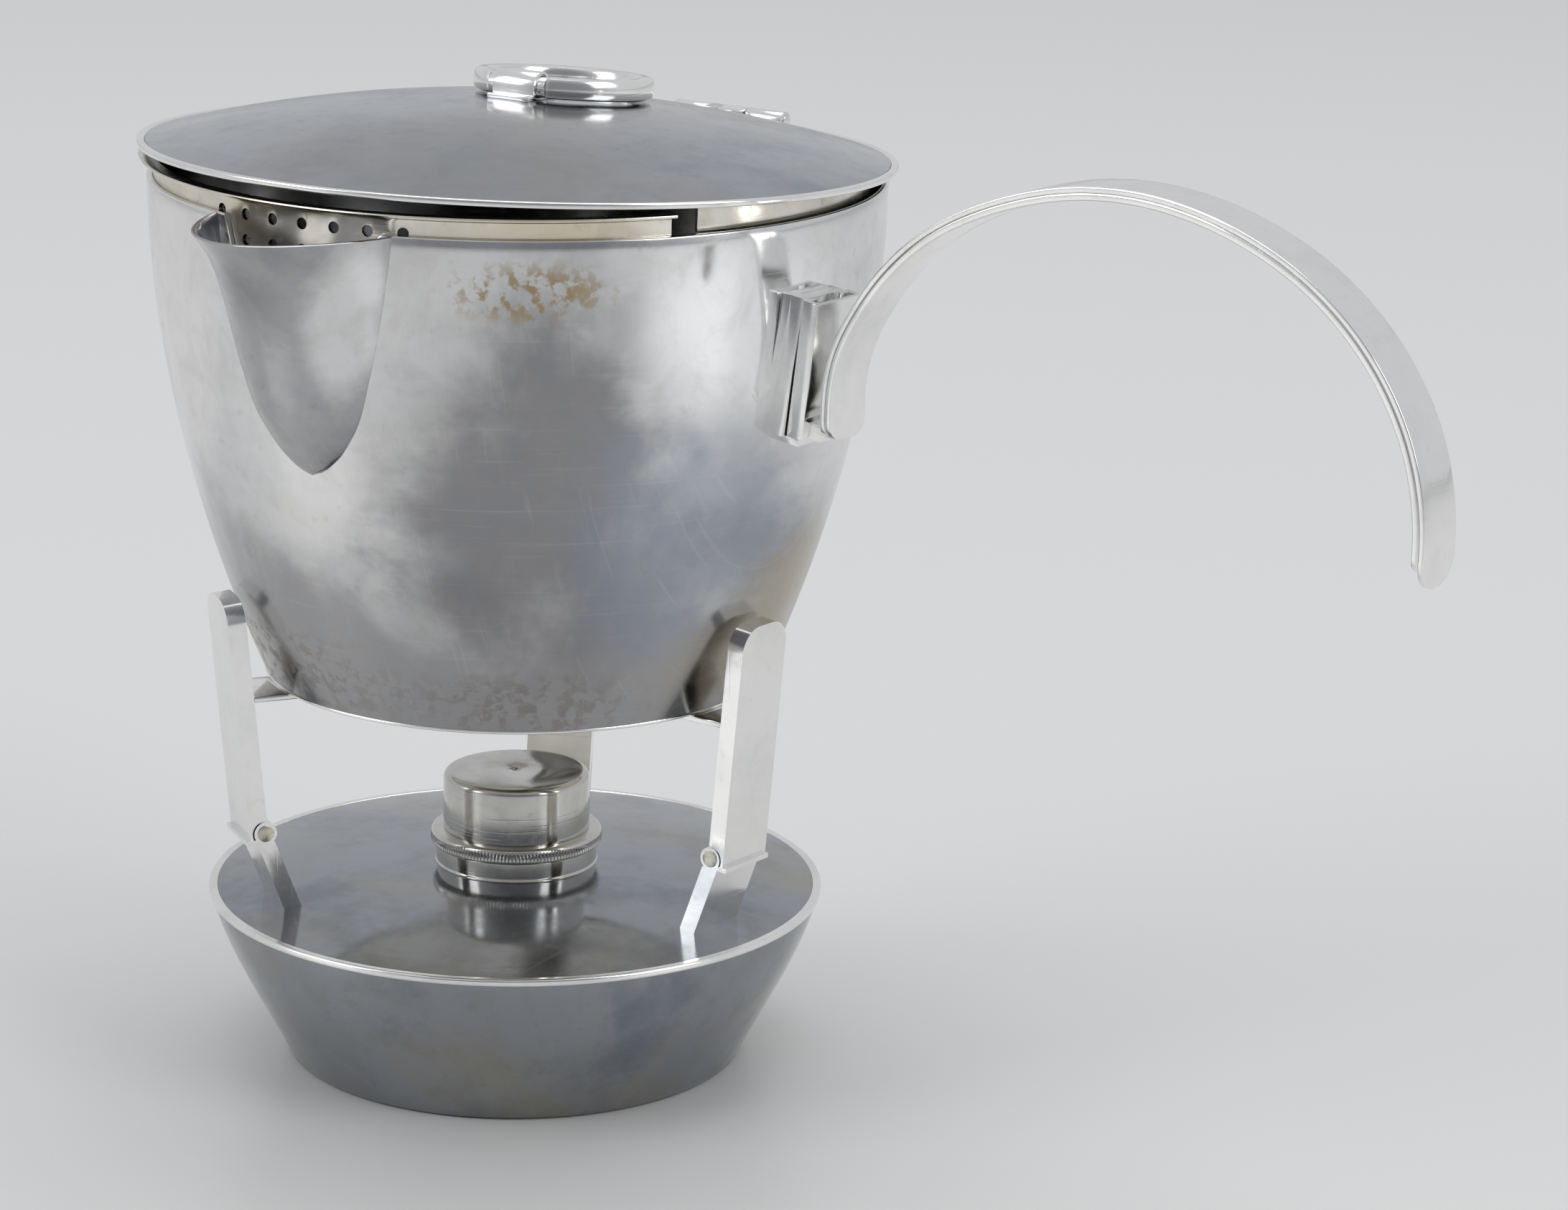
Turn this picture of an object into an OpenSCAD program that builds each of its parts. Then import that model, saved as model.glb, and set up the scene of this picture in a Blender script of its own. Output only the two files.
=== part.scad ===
// Spirit kettle on a folding three-leg stand. Millimetres, Z up.
// The origin is the middle of the base's underside; +X points along the side handle.

/* [Base and lamp] */

// Diameter of the flat face the base stands on
foot_d = 83; // [60:1:110]
// Diameter of the base at its top rim
base_d = 112; // [90:1:140]
// Height of the base to its top rim
base_h = 31.3; // [20:0.1:50]
// Rise of the domed base top above its rim
base_dome = 4.2; // [1:0.1:8]
// Sheet thickness of the base
base_wall = 1.2; // [0.8:0.1:2]
// Outside diameter of the filler collar
collar_d = 29.2; // [20:0.1:40]
// Diameter of the knurled flange of the wick holder
flange_d = 31.2; // [22:0.1:44]
// Height of the knurled flange
flange_h = 2.9; // [1.5:0.1:5]
// Number of knurls round the flange
knurls = 90; // [40:2:120]
// Outside diameter of the snuffer cap
cap_d = 26.7; // [18:0.1:36]
// Height of the snuffer cap
cap_h = 10.6; // [6:0.1:20]

/* [Legs] */

// Width of a leg bar
leg_w = 12.4; // [8:0.1:16]
// Thickness of a leg bar
leg_t = 3.3; // [2:0.1:5]
// How far the leg hinges lie outside the kettle's bottom edge
leg_out = 4.1; // [2:0.1:10]
// Height of the leg hinges
hinge_z = 47; // [40:0.1:60]
// Length of a folding leg above its hinge
leg_len = 43.2; // [30:0.1:60]
// Gap between a leg at its top and the kettle's side
leg_gap = 0.99; // [0.5:0.01:4]
// Diameter of the hinge barrels
barrel_d = 4.2; // [3:0.1:6]
// Diameter of the hinge pins
pin_d = 3; // [1.5:0.1:4]
// How far a bracket reaches in under the kettle's bottom edge
bracket_in = 7.4; // [4:0.1:12]
// Thickness of the brackets
bracket_t = 1.1; // [0.8:0.1:2]

/* [Kettle] */

// Height at which the kettle rests on the brackets
seat_z = 72.4; // [60:0.1:90]
// Height of the kettle from its seat to its mouth
kettle_h = 90; // [60:0.5:120]
// Diameter of the kettle at its bottom edge
bottom_d = 90.8; // [70:0.1:110]
// Diameter of the kettle at its mouth
mouth_d = 130.2; // [100:0.1:160]
// How full the side is: 1 is a straight cone, larger bulges lower down
side_curve = 1.93; // [1:0.01:3]
// Sheet thickness of the kettle
kettle_wall = 1.1; // [0.8:0.1:2]
// Direction of the spout, counted from the handle
spout_az = -85; // [-100:1:-80]
// How far the spout's tip stands out from the mouth
spout_out = 19.2; // [10:0.1:30]
// How far the spout reaches down the wall
spout_depth = 45.4; // [30:0.1:60]
// Width of the spout's channel
spout_w = 37.6; // [25:0.1:50]
// Lean of the spout's flared part, away from upright
spout_flare = 42; // [20:1:50]
// Half of the arc that the strainer covers
strainer_arc = 58; // [40:1:70]
// How far the strainer stands above the mouth
strainer_up = 3.8; // [2:0.1:6]
// Diameter of the strainer's holes
hole_d = 2; // [1:0.1:3]

/* [Lid] */

// How far the lid's edge overhangs the kettle's mouth
lid_over = 1.7; // [1:0.1:5]
// Height of the lid's dome above its lower edge
lid_h = 9.8; // [5:0.1:20]
// How far the lid stands open at rest
lid_rest = 2.57; // [0:0.01:10]
// Depth of the flange under the lid's edge
flange_drop = 4.6; // [3:0.1:8]
// Outside diameter of the lid's ring
ring_d = 32.1; // [20:0.1:45]
// Height of the ring's bar
ring_h = 3.8; // [2.5:0.1:6]
// Width of the ring's strap
strap_w = 8.7; // [5:0.1:12]
// Downward lean of the ring at rest
ring_droop = 3; // [0:0.1:4]

/* [Handle] */

// Width of the handle's strips
handle_w = 10; // [8:0.1:16]
// Thickness of the handle's outer strip
outer_t = 1; // [0.8:0.1:2]
// Thickness of the handle's inner strip
inner_t = 1.3; // [0.8:0.1:3]
// How far the handle reaches beyond its socket
handle_reach = 116.4; // [90:0.1:140]
// How far the handle rises above its lower end
handle_rise = 50.2; // [35:0.1:65]
// How far the socket's lower end lies below the mouth
socket_drop = 36.4; // [30:0.1:60]
// Length of the socket
socket_h = 24; // [16:0.5:30]
// Width of the socket
socket_w = 12.7; // [12:0.1:20]

/* [Hidden] */

$fn = 96;
eps = 0.01;
// Radial clearance of a turning or sliding fit
run_gap = 0.06;
// Gap between pieces that move past each other
gap = 0.3;
sides = 20;

foot_r = foot_d / 2;
base_r = base_d / 2;
base_rim = 1.2;
function base_side(t) = foot_r + (base_r - 0.6 - foot_r) * (t + 0.48 * t * t * (1 - t));
side_top = base_h - base_rim;
base_pts = [for (i = [0:12]) [base_side(i / 12), side_top * i / 12]];
base_in = [for (i = [12:-1:0]) [base_side(i / 12) - base_wall, max(base_wall, side_top * i / 12)]];
function dome_z(r) = base_h + base_dome * (1 - pow(r / (base_r - 1.6), 2));
dome_r = base_r - 1.6;
dome_pts = [for (i = [0:10]) [dome_r * (10 - i) / 10, dome_z(dome_r * (10 - i) / 10)]];
dome_low = [for (i = [0:10]) [dome_r * i / 10, dome_z(dome_r * i / 10) - base_wall]];

collar_r = collar_d / 2;
neck_r = collar_r - 2;
flange_z = base_h + 7.3;
cap_z = flange_z + flange_h;
cap_r = cap_d / 2;
cap_wall = 1;
boss_r = cap_r - cap_wall - run_gap;
tube_r = 4.4;
tube_wall = 0.7;
wick_r = tube_r - tube_wall;
tube_top = cap_z + 6;

barrel_r = barrel_d / 2;
pin_r = pin_d / 2;
mid_half = leg_w / 6;
stub_top = hinge_z - 1.9;
bar_in = -0.45;
bar_foot = -0.9;
bar_round = 4.4;
lip_t = 0.85;

bottom_r = bottom_d / 2;
mouth_r = mouth_d / 2;
wire_t = 0.6;
body_z = seat_z + wire_t;
mouth_z = seat_z + kettle_h;
function side_f(t) = 1 - pow(max(0, 1 - t), side_curve);
function side_at(t) = bottom_r + (mouth_r - bottom_r) * side_f(t);
side_table = [for (i = [0:sides]) [body_z + (mouth_z - body_z) * i / sides, side_at(i / sides)]];
function wall_r(z) = lookup(z, side_table);
spout_turn = spout_az + 90;
far = mouth_d * 2;

hinge_rho = bottom_r + leg_out;
foot_in = hinge_rho - 6.6;
bracket_rho = bottom_r - bracket_in;
leg_lean = atan2(wall_r(hinge_z + leg_len) + leg_gap - hinge_rho - bar_in, leg_len);

lip_t1 = 1.1;
lip_r1 = spout_w / 2;
lip_low = mouth_z - spout_depth;
lip_mid = mouth_r - 11.1;
// Spout's channel: share of its depth, share of its radius
lip_key = [
    [0.000, 0.21],
    [0.050, 0.35],
    [0.105, 0.47],
    [0.155, 0.56],
    [0.220, 0.67],
    [0.286, 0.74],
    [0.440, 0.825],
    [0.617, 0.90],
    [0.727, 0.945],
    [0.860, 0.98],
    [1.100, 1.00]
];
flare_r = lip_r1 - 0.5;
flare_mid = mouth_r + spout_out - flare_r / cos(spout_flare);
notch_half = lip_r1 - 3.3;
notch_drop = spout_depth * 0.46;

lid_r = mouth_r + lid_over;
lid_z = mouth_z + 0.1;
edge_h = 1.1;
edge_w = 1.4;
lid_wall = 0.9;
cap_edge = lid_r - edge_w;
apex_z = lid_z + lid_h;
cap_rise = lid_h - edge_h + 0.1;
function lid_top(r) = apex_z - cap_rise * pow(r / cap_edge, 2);
lid_pts = [for (i = [0:14]) [cap_edge * i / 14, lid_top(cap_edge * i / 14)]];
lid_low = [for (i = [14:-1:0]) [cap_edge * i / 14, lid_top(cap_edge * i / 14) - lid_wall]];
lid_hinge_y = lid_r + 2.4;
lid_hinge_z = lid_z + 0.9;
lid_barrel = 1.8;
lid_pin = 0.9;
lid_half = 12;
lid_mid = 4;
flange_r = lid_r - 4.1;
flange_t = 0.8;
bar_r = ring_h / 2 - 0.05;
bar_z = apex_z + ring_h / 2 + 0.35;
ring_bar = 3.4;
ring_mid = (ring_d - ring_bar) / 2;
bar_half = 5.6;
bar_arc = asin(bar_half / ring_mid);
ring_off = ring_mid * cos(bar_arc);
strap_t = 0.8;

socket_z = mouth_z - socket_drop;
sock_lean = atan2(wall_r(socket_z + socket_h) - wall_r(socket_z), socket_h);
sock_r = wall_r(socket_z);
rail_u = 2.6;
sleeve_u = rail_u + gap;
face_u = 6.1;
head_half = 4.9;
neck_half = 3;
ledge_t = 1.2;
tip_round = 4.6;
foot_round = 3;
ply_round = 2;
strip_t = outer_t + inner_t;
grip_x = sock_r + face_u + strip_t + 0.4;
grip_z = socket_z - 0.5;

// Handle curve: outer surface from its lower end to its tip, as parts of reach and rise
handle_key = [
    [0.000, 0.000],
    [-0.001, 0.080],
    [0.000, 0.165],
    [0.007, 0.261],
    [0.022, 0.357],
    [0.046, 0.454],
    [0.076, 0.556],
    [0.113, 0.653],
    [0.157, 0.743],
    [0.206, 0.817],
    [0.258, 0.876],
    [0.312, 0.924],
    [0.368, 0.962],
    [0.426, 0.988],
    [0.488, 1.000],
    [0.550, 0.996],
    [0.611, 0.976],
    [0.670, 0.942],
    [0.729, 0.892],
    [0.786, 0.827],
    [0.841, 0.741],
    [0.891, 0.635],
    [0.933, 0.514],
    [0.965, 0.384],
    [0.986, 0.251],
    [0.997, 0.120],
    [1.000, -0.006],
    [0.995, -0.125]
];
function grip_pt(k) = [grip_x + handle_reach * k[0], grip_z + handle_rise * k[1]];
function bend(a, b, c, d, t) =
    0.5 * (2 * b + (c - a) * t + (2 * a - 5 * b + 4 * c - d) * t * t + (3 * b - a - 3 * c + d) * t * t * t);
last_key = len(handle_key) - 1;
function key_at(i) = grip_pt(handle_key[min(last_key, max(0, i))]);
grip_path = [
    for (i = [0:last_key - 1])
    for (j = [0:1])
    bend(key_at(i - 1), key_at(i), key_at(i + 1), key_at(i + 2), j / 2),
    key_at(last_key)
];
function unit(v) = v / norm(v);
function path_dir(i) =
    let (n = len(grip_path) - 1)
    unit(grip_path[min(n, i + 1)] - grip_path[max(0, i - 1)]);
function path_in(i, d) = grip_path[i] + d * [path_dir(i)[1], -path_dir(i)[0]];

// Which sub-part to draw

module silver() color([0.80, 0.79, 0.76]) children();
module dark_silver() color([0.62, 0.61, 0.58]) children();
module brass() color([0.80, 0.66, 0.38]) children();
module cotton() color([0.88, 0.85, 0.76]) children();

// Filled shape under the domed base top, used to seat what stands on it
module base_fill() {
    rotate_extrude() polygon(concat([[0, 0]], [[dome_r, 0]], dome_pts));
}

module base_dish() {
    silver() rotate_extrude() polygon(concat(
        [[0, 0], [foot_r - 0.6, 0], [base_side(0.02), 0.6]],
        [for (i = [1:12]) base_pts[i]],
        [for (i = [0:11]) base_in[i]],
        [[foot_r - base_wall, base_wall], [0, base_wall]]
    ));
}

module base_top_plate() {
    silver() difference() {
        rotate_extrude() polygon(concat(dome_pts, dome_low));
        cylinder(r = neck_r, h = base_h * 2);
    }
}

module base_rim_wire() {
    silver() rotate_extrude() polygon([
        [dome_r, base_h - base_wall],
        [base_r - 0.4, base_h - base_wall],
        [base_r, base_h - base_wall + 0.4],
        [base_r, base_h - 0.3],
        [base_r - 0.4, base_h + 0.1],
        [dome_r + 0.3, base_h + 0.1],
        [dome_r, base_h]
    ]);
}

module filler_collar() {
    silver() difference() {
        cylinder(r = collar_r, h = flange_z);
        cylinder(r = neck_r, h = flange_z + 1);
        base_fill();
    }
}

module knurl_ring(r, h) {
    n = knurls * 2;
    linear_extrude(h) polygon([
        for (i = [0:n - 1])
        (r - (i % 2) * 0.3) * [cos(360 * i / n), sin(360 * i / n)]
    ]);
}

module wick_holder() {
    silver() difference() {
        union() {
            translate([0, 0, flange_z]) knurl_ring(flange_d / 2, flange_h);
            translate([0, 0, flange_z - 7]) cylinder(r = neck_r - run_gap, h = 7 + eps);
            translate([0, 0, cap_z - eps]) cylinder(r = boss_r, h = 1.8);
        }
        translate([0, 0, flange_z - 8]) cylinder(r = tube_r, h = 30);
        translate([0, 0, flange_z - 8]) cylinder(r = neck_r - 1.4, h = 8.6);
    }
}

module wick_tube() {
    brass() difference() {
        translate([0, 0, flange_z - 12]) cylinder(r = tube_r, h = tube_top - flange_z + 12);
        translate([0, 0, flange_z - 13]) cylinder(r = wick_r, h = 40);
    }
}

module wick() {
    cotton() translate([0, 0, base_wall + 4]) cylinder(r = wick_r, h = tube_top - base_wall - 2.6);
}

module snuffer_cap() {
    in_r = cap_r - cap_wall;
    silver() translate([0, 0, cap_z]) rotate_extrude() polygon([
        [in_r, 0],
        [cap_r - 0.2, 0],
        [cap_r, 0.3],
        [cap_r, cap_h - 1.1],
        [cap_r - 0.1, cap_h - 0.7],
        [cap_r - 0.35, cap_h - 0.35],
        [cap_r - 0.8, cap_h - 0.15],
        [cap_r * 0.6, cap_h],
        [1.2, cap_h],
        [0.5, cap_h - 0.3],
        [0, cap_h - 0.3],
        [0, cap_h - 1.2],
        [in_r - 0.6, cap_h - 1.2],
        [in_r, cap_h - 1.8]
    ]);
}

module at_leg(i) {
    rotate([0, 0, 120 * (i - 1)]) children();
}

// Frame of a folding leg: origin on the hinge, Z along the bar
module leg_frame() {
    translate([hinge_rho, 0, hinge_z]) rotate([0, leg_lean, 0]) children();
}

module pin_rod(r, y0, y1) {
    translate([0, y0, 0]) rotate([-90, 0, 0]) cylinder(r = r, h = y1 - y0);
}

module leg_stub(i) {
    half = leg_w / 2;
    silver() at_leg(i) difference() {
        union() {
            translate([0, half, 0]) rotate([90, 0, 0]) linear_extrude(leg_w) polygon([
                [foot_in, base_h - 2],
                [foot_in + leg_t, base_h - 2],
                [foot_in + leg_t, base_h + 1.2],
                [hinge_rho + 1.6, stub_top + 0.2],
                [hinge_rho - 1.7, stub_top + 0.2],
                [foot_in, base_h + 1.2]
            ]);
            translate([hinge_rho, 0, hinge_z]) pin_rod(barrel_r, -half, -mid_half);
            translate([hinge_rho, 0, hinge_z]) pin_rod(barrel_r, mid_half, half);
            leg_frame() translate([0.4, 0.05 - half, bar_foot - lip_t]) cube([3.2, leg_w - 0.1, lip_t]);
        }
        base_fill();
        translate([hinge_rho, 0, hinge_z]) pin_rod(pin_r, -leg_w, leg_w);
        translate([hinge_rho, 0, hinge_z]) pin_rod(barrel_r + gap, -mid_half, mid_half);
    }
}

module leg_pin(i) {
    silver() at_leg(i) translate([hinge_rho, 0, hinge_z]) pin_rod(pin_r, -leg_w / 2 - 0.2, leg_w / 2 + 0.2);
}

module bar_shape() {
    half = leg_w / 2;
    translate([bar_in, -half, bar_foot]) cube([leg_t, leg_w, leg_len - bar_foot - bar_round]);
    translate([bar_in, -half + bar_round, 0]) cube([leg_t, leg_w - 2 * bar_round, leg_len]);
    for (s = [-1, 1])
        translate([bar_in, s * (half - bar_round), leg_len - bar_round])
            rotate([0, 90, 0]) cylinder(r = bar_round, h = leg_t);
}

module leg_bar(i) {
    half = leg_w / 2;
    mid = mid_half - gap;
    silver() at_leg(i) leg_frame() difference() {
        union() {
            difference() {
                bar_shape();
                pin_rod(barrel_r + gap, mid, half + 1);
                pin_rod(barrel_r + gap, -half - 1, -mid);
            }
            pin_rod(barrel_r, -mid, mid);
        }
        pin_rod(pin_r + run_gap, -leg_w, leg_w);
    }
}

module leg_bracket(i) {
    half = leg_w / 2;
    tip = 4.5;
    silver() at_leg(i) difference() {
        union() {
            translate([bracket_rho + tip, -half, seat_z - bracket_t]) cube([12, leg_w, bracket_t]);
            translate([bracket_rho, -half + tip, seat_z - bracket_t]) cube([8, leg_w - 2 * tip, bracket_t]);
            for (s = [-1, 1])
                translate([bracket_rho + tip, s * (half - tip), seat_z - bracket_t])
                    cylinder(r = tip, h = bracket_t);
        }
        leg_frame() translate([bar_in, -leg_w, 0]) cube([20, leg_w * 2, leg_len]);
    }
}

// Filled outer shape of the kettle, used to seat what is fixed to its wall
module kettle_fill() {
    rotate_extrude() polygon(concat(
        [[0, body_z]],
        [for (p = side_table) [p[1], p[0]]],
        [[0, mouth_z]]
    ));
}

module at_spout() {
    rotate([0, 0, spout_turn]) children();
}

module kettle_body() {
    silver() difference() {
        rotate_extrude() polygon(concat(
            [for (p = side_table) [p[1], p[0]]],
            [for (i = [sides:-1:0]) [side_table[i][1] - kettle_wall, side_table[i][0]]]
        ));
        at_spout() translate([0, -mouth_r + notch_half / 2, 0]) rotate([90, 0, 0]) linear_extrude(notch_half) polygon([
            [-notch_half, mouth_z + 1],
            [-notch_half * 0.87, mouth_z - notch_drop * 0.29],
            [-notch_half * 0.44, mouth_z - notch_drop * 0.81],
            [0, mouth_z - notch_drop],
            [notch_half * 0.44, mouth_z - notch_drop * 0.81],
            [notch_half * 0.87, mouth_z - notch_drop * 0.29],
            [notch_half, mouth_z + 1]
        ]);
    }
}

module kettle_bottom() {
    top = body_z + 1.1;
    silver() rotate_extrude() polygon([
        [0, body_z],
        [wall_r(body_z) - kettle_wall, body_z],
        [wall_r(top) - kettle_wall, top],
        [0, top]
    ]);
}

module kettle_foot_wire() {
    silver() rotate_extrude() polygon([
        [bottom_r - 1.9, seat_z],
        [bottom_r - 0.2, seat_z],
        [bottom_r + 0.15, seat_z + 0.25],
        [bottom_r + 0.1, seat_z + 0.5],
        [bottom_r, body_z],
        [bottom_r - 1.9, body_z]
    ]);
}

// Filled outer shape of the spout, smaller all round by d
module lip_fill(d) {
    translate([0, -lip_mid, 0]) rotate_extrude() polygon(concat(
        [[0, lip_low + d]],
        [for (k = lip_key) [lip_r1 * k[1] - d, lip_low + spout_depth * k[0] + max(0, d - spout_depth * k[0])]],
        [[0, lip_low + spout_depth * 1.1]]
    ));
    translate([0, -flare_mid, mouth_z]) rotate([spout_flare, 0, 0])
        translate([0, 0, -lip_r1 * 1.5]) cylinder(r = flare_r - d, h = lip_r1 * 2.5);
}

module spout_lip() {
    silver() at_spout() difference() {
        lip_fill(0);
        lip_fill(lip_t1);
        kettle_fill();
        translate([-far, -far, mouth_z - 0.4]) cube([far * 2, far * 2, far]);
        translate([-far, -mouth_r * 0.77, 0]) cube([far * 2, far * 2, far * 2]);
    }
}

module strainer_band() {
    band_t = 0.8;
    low = 16.4;
    lip_z = mouth_z + strainer_up;
    out_r = mouth_r - kettle_wall;
    level = [for (p = side_table) if (p[0] > mouth_z - low && p[0] < mouth_z - eps) p];
    foot = [mouth_z - low, wall_r(mouth_z - low)];
    run = concat([foot], level, [[mouth_z, mouth_r]]);
    n = len(run) - 1;
    silver() difference() {
        rotate([0, 0, spout_az - strainer_arc]) rotate_extrude(angle = 2 * strainer_arc) polygon(concat(
            [for (p = run) [p[1] - kettle_wall, p[0]]],
            [[out_r, lip_z - 0.9], [out_r + 0.9, lip_z - 0.75], [lid_r - 0.5, lip_z - 0.6]],
            [[lid_r - 0.3, lip_z - 0.3], [lid_r - 0.5, lip_z], [out_r - band_t, lip_z]],
            [for (i = [n:-1:0]) [run[i][1] - kettle_wall - band_t, run[i][0]]]
        ));
        for (row = [0:3])
            for (k = [-4:4])
                if (abs(k) < 4 - row)
                    rotate([0, 0, spout_az + 1 + 5.6 * k])
                        translate([out_r - 6, 0, mouth_z + 0.3 - 4.4 * row])
                            rotate([0, 90, 0]) cylinder(d = hole_d, h = 12);
    }
}

// Frame of the handle's socket: X away from the wall, Z along the slide
module sock_frame() {
    translate([sock_r, 0, socket_z]) rotate([0, sock_lean, 0]) children();
}

module handle_rail() {
    half = socket_w / 2 + 0.95;
    top = socket_w / 2 - 0.75;
    silver() difference() {
        sock_frame() union() {
            translate([-2, 0, 0]) rotate([90, 0, 90]) linear_extrude(rail_u + 2)
                polygon([[-half, -eps], [half, -eps], [top, socket_h], [-top, socket_h]]);
            translate([-2, -half + 1, -ledge_t]) cube([face_u + 1.3, half * 2 - 2, ledge_t]);
            translate([rail_u - eps, -neck_half, -eps]) cube([1.4, neck_half * 2, socket_h - 6]);
            translate([rail_u + 1.3, -head_half, -eps]) cube([1, head_half * 2, socket_h - 6]);
        }
        kettle_fill();
    }
}

module handle_sleeve() {
    half = socket_w / 2;
    silver() sock_frame() difference() {
        union() {
            translate([sleeve_u, -half, 0]) cube([face_u - sleeve_u, socket_w, socket_h]);
            translate([face_u - eps, -handle_w / 2 + 0.4, 0.2]) cube([4, handle_w - 0.8, 2.8]);
        }
        translate([sleeve_u - 1, -neck_half - gap, -1]) cube([1.7, 2 * (neck_half + gap), socket_h + 2]);
        translate([sleeve_u + 0.7, -head_half - gap, -1]) cube([1.6, 2 * (head_half + gap), socket_h + 2]);
        strip_fill();
    }
}

// Everything beyond the foot of the handle's outer strip, used to seat that foot
module strip_fill() {
    rotate([0, -sock_lean, 0]) translate([-sock_r, 0, -socket_z])
        translate([0, 30, 0]) rotate([90, 0, 0]) linear_extrude(60) polygon(concat(
            [for (i = [0:8]) path_in(i, 0)],
            [[grip_x + 60, path_in(8, 0)[1]], [grip_x + 60, grip_z - 9], [path_in(0, 0)[0], grip_z - 9]]
        ));
}

module strip(d0, d1, i0, i1) {
    translate([0, handle_w / 2, 0]) rotate([90, 0, 0]) linear_extrude(handle_w) polygon(concat(
        [for (i = [i0:i1]) path_in(i, d0)],
        [for (i = [i1:-1:i0]) path_in(i, d1)]
    ));
}

// Takes the two corners off a strip's end: dir is 1 for an upper end and -1 for a lower one
module end_round(x, z, r, dir) {
    half = handle_w / 2;
    for (s = [-1, 1])
        translate([x - half * 2, s * (half - r), z - dir * r]) difference() {
            translate([0, s > 0 ? 0 : -r - 1, dir > 0 ? 0 : -r - 1]) cube([half * 5, r + 1, r + 1]);
            translate([-1, 0, 0]) rotate([0, 90, 0]) cylinder(r = r, h = half * 5 + 2);
        }
}

module handle_outer_strip() {
    n = len(grip_path) - 1;
    silver() difference() {
        strip(0, outer_t, 0, n);
        end_round(grip_path[n][0], grip_path[n][1], tip_round, -1);
        end_round(grip_path[0][0] - 2, grip_path[0][1], foot_round, -1);
    }
}

module handle_inner_strip() {
    n = len(grip_path) - 1;
    silver() difference() {
        strip(outer_t, strip_t, 0, n - 1);
        end_round(grip_path[n - 1][0], grip_path[n - 1][1], ply_round, -1);
        end_round(grip_path[0][0] - 2, grip_path[0][1], foot_round, -1);
    }
}

module hinge_rod(r, x0, x1) {
    translate([x0, lid_hinge_y, lid_hinge_z]) rotate([0, 90, 0]) cylinder(r = r, h = x1 - x0);
}

// Puts a piece of the lid where it stands at rest
module at_lid() {
    at_spout() translate([0, lid_hinge_y, lid_hinge_z]) rotate([-lid_rest, 0, 0])
        translate([0, -lid_hinge_y, -lid_hinge_z]) children();
}

module lid_hinge_seat() {
    silver() difference() {
        at_spout() union() {
            difference() {
                translate([-lid_half, 0, 0]) rotate([90, 0, 90]) linear_extrude(lid_half * 2) polygon([
                    [mouth_r - 4, mouth_z - 8],
                    [mouth_r + 0.6, mouth_z - 8],
                    [lid_hinge_y + 1.2, lid_hinge_z - 1.3],
                    [lid_hinge_y, lid_hinge_z],
                    [lid_r + 0.7, lid_hinge_z - 1.2],
                    [mouth_r - 4, mouth_z - 0.4]
                ]);
                hinge_rod(lid_barrel + gap, -lid_mid - 0.2, lid_mid + 0.2);
                hinge_rod(lid_pin, -lid_half - 1, lid_half + 1);
            }
            difference() {
                union() {
                    hinge_rod(lid_barrel, -lid_half, -lid_mid - 0.2);
                    hinge_rod(lid_barrel, lid_mid + 0.2, lid_half);
                }
                hinge_rod(lid_pin, -lid_half - 1, lid_half + 1);
            }
        }
        kettle_fill();
    }
}

module lid_hinge_pin() {
    silver() at_spout() hinge_rod(lid_pin, -lid_half - 0.3, lid_half + 0.3);
}

// Filled outer shape of the lid, used to seat what is fixed to it
module lid_fill() {
    rotate_extrude() polygon(concat(
        lid_pts,
        [[cap_edge, lid_z + edge_h], [lid_r - 0.3, lid_z + edge_h], [lid_r, lid_z + edge_h - 0.3]],
        [[lid_r, lid_z + 0.3], [lid_r, lid_z - 12], [0, lid_z - 12]]
    ));
}

module lid_hinge_leaf() {
    silver() at_lid() difference() {
        union() {
            hinge_rod(lid_barrel, -lid_mid, lid_mid);
            difference() {
                translate([-lid_mid, 0, 0]) rotate([90, 0, 90]) linear_extrude(lid_mid * 2) polygon([
                    [lid_r - 8.5, lid_z + 1],
                    [lid_hinge_y, lid_hinge_z + 0.2],
                    [lid_hinge_y, lid_hinge_z + lid_barrel],
                    [lid_r - 1, lid_hinge_z + lid_barrel - 0.1],
                    [lid_r - 8.5, lid_top(lid_r - 8.5) + 0.8]
                ]);
                lid_fill();
            }
        }
        hinge_rod(lid_pin + run_gap, -lid_half, lid_half);
    }
}

module lid_dome() {
    silver() at_lid() rotate_extrude() polygon(concat(lid_pts, lid_low));
}

module lid_edge_wire() {
    silver() at_lid() rotate_extrude() polygon([
        [cap_edge, lid_z],
        [lid_r - 0.3, lid_z],
        [lid_r, lid_z + 0.3],
        [lid_r, lid_z + edge_h - 0.3],
        [lid_r - 0.3, lid_z + edge_h],
        [cap_edge, lid_z + edge_h]
    ]);
}

module lid_flange() {
    arc = strainer_arc + 5;
    silver() at_lid() difference() {
        rotate([0, 0, arc - 90]) rotate_extrude(angle = 360 - 2 * arc) polygon([
            [flange_r - flange_t, lid_z - flange_drop],
            [flange_r, lid_z - flange_drop],
            [flange_r, lid_z + 4],
            [flange_r - flange_t, lid_z + 4]
        ]);
        rotate_extrude() polygon(concat(lid_low, [[0, apex_z + 9], [cap_edge, apex_z + 9]]));
    }
}

module strap_rod(r, half) {
    translate([-half, 0, bar_z]) rotate([0, 90, 0]) cylinder(r = r, h = half * 2);
}

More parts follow.
